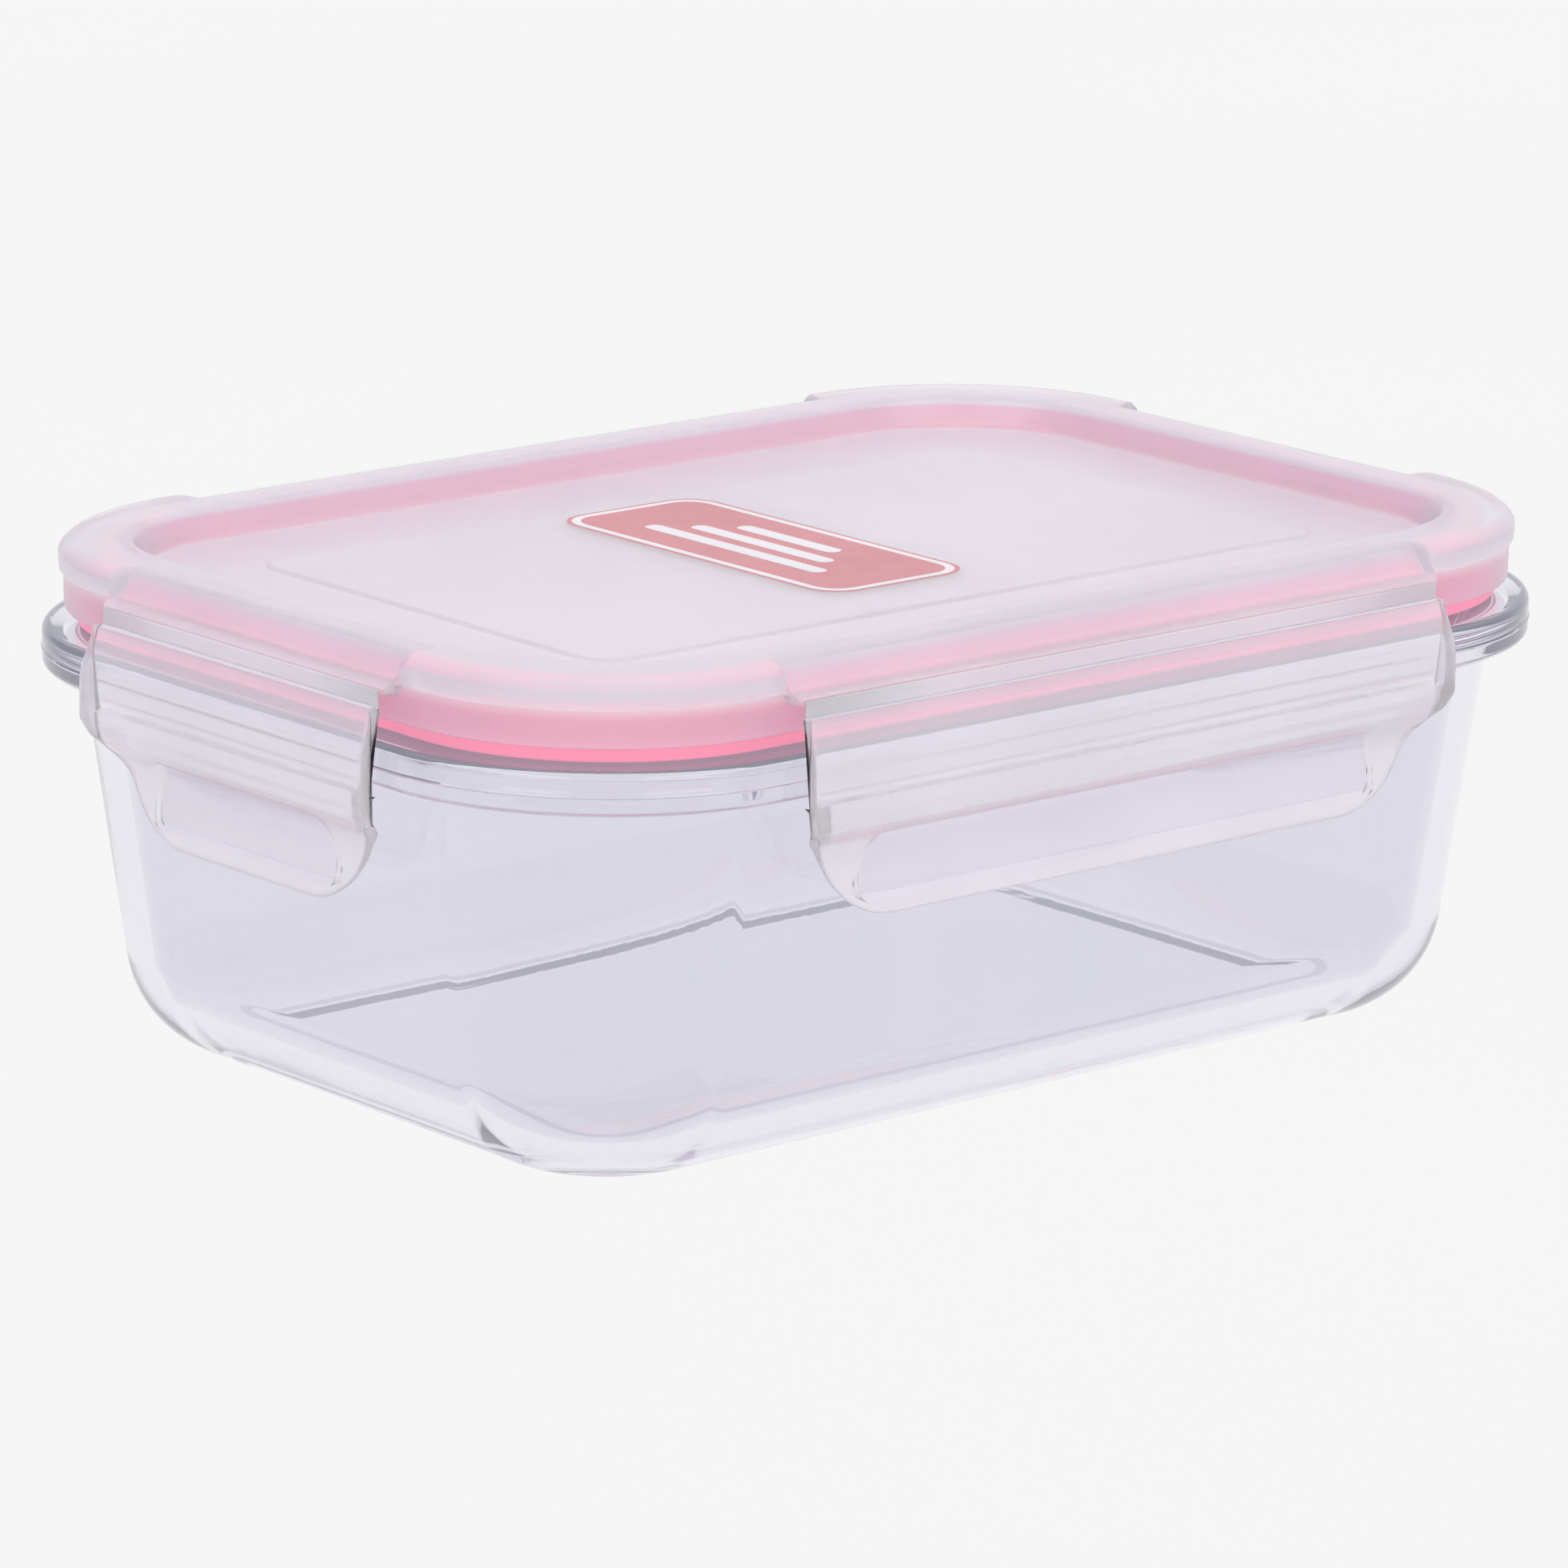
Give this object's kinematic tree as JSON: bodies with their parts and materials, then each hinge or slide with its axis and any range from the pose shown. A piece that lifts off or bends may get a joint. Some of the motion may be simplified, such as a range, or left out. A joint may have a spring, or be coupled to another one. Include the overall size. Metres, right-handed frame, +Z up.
{
  "type": "snap lid food container",
  "caption": "Rectangular glass food container with a translucent clip lid, hinged locking flaps and a pink silicone gasket.",
  "frame": {"origin": "centre of the bowl's underside, on the surface that it stands on", "axes": "+X along the container's long side, +Y along its short side, +Z up through the lid"},
  "size_m": [0.1914, 0.139, 0.0697],
  "materials": {
    "glass": "clear pressed borosilicate glass, polished",
    "polypropylene": "milky translucent moulded polypropylene, satin",
    "silicone": "pink silicone rubber, satin"
  },
  "bodies": {
    "bowl": {"glass_bowl": "glass"},
    "lid": {"lid_panel": "polypropylene", "gasket": "silicone", "hinge_film_front": "polypropylene", "hinge_film_back": "polypropylene", "hinge_film_left": "polypropylene", "hinge_film_right": "polypropylene"},
    "front_flap": {"flap_front": "polypropylene"},
    "back_flap": {"flap_back": "polypropylene"},
    "left_flap": {"flap_left": "polypropylene"},
    "right_flap": {"flap_right": "polypropylene"}
  },
  "joints": [
    {"name": "lid_lift", "type": "slide", "parent": "bowl", "child": "lid", "axis": [0, 0, 1], "range_m": [0, 0.15]},
    {"name": "front_flap_hinge", "type": "hinge", "parent": "lid", "child": "front_flap", "pos_m": [0, -0.06595, 0.0643], "axis": [-1, 0, 0], "range_deg": [0, 135], "deforming": ["hinge_film_front"]},
    {"name": "back_flap_hinge", "type": "hinge", "parent": "lid", "child": "back_flap", "pos_m": [0, 0.06595, 0.0643], "axis": [1, 0, 0], "range_deg": [0, 135], "deforming": ["hinge_film_back"]},
    {"name": "left_flap_hinge", "type": "hinge", "parent": "lid", "child": "left_flap", "pos_m": [-0.09215, 0, 0.0643], "axis": [0, 1, 0], "range_deg": [0, 135], "deforming": ["hinge_film_left"]},
    {"name": "right_flap_hinge", "type": "hinge", "parent": "lid", "child": "right_flap", "pos_m": [0.09215, 0, 0.0643], "axis": [0, -1, 0], "range_deg": [0, 135], "deforming": ["hinge_film_right"]}
  ]
}
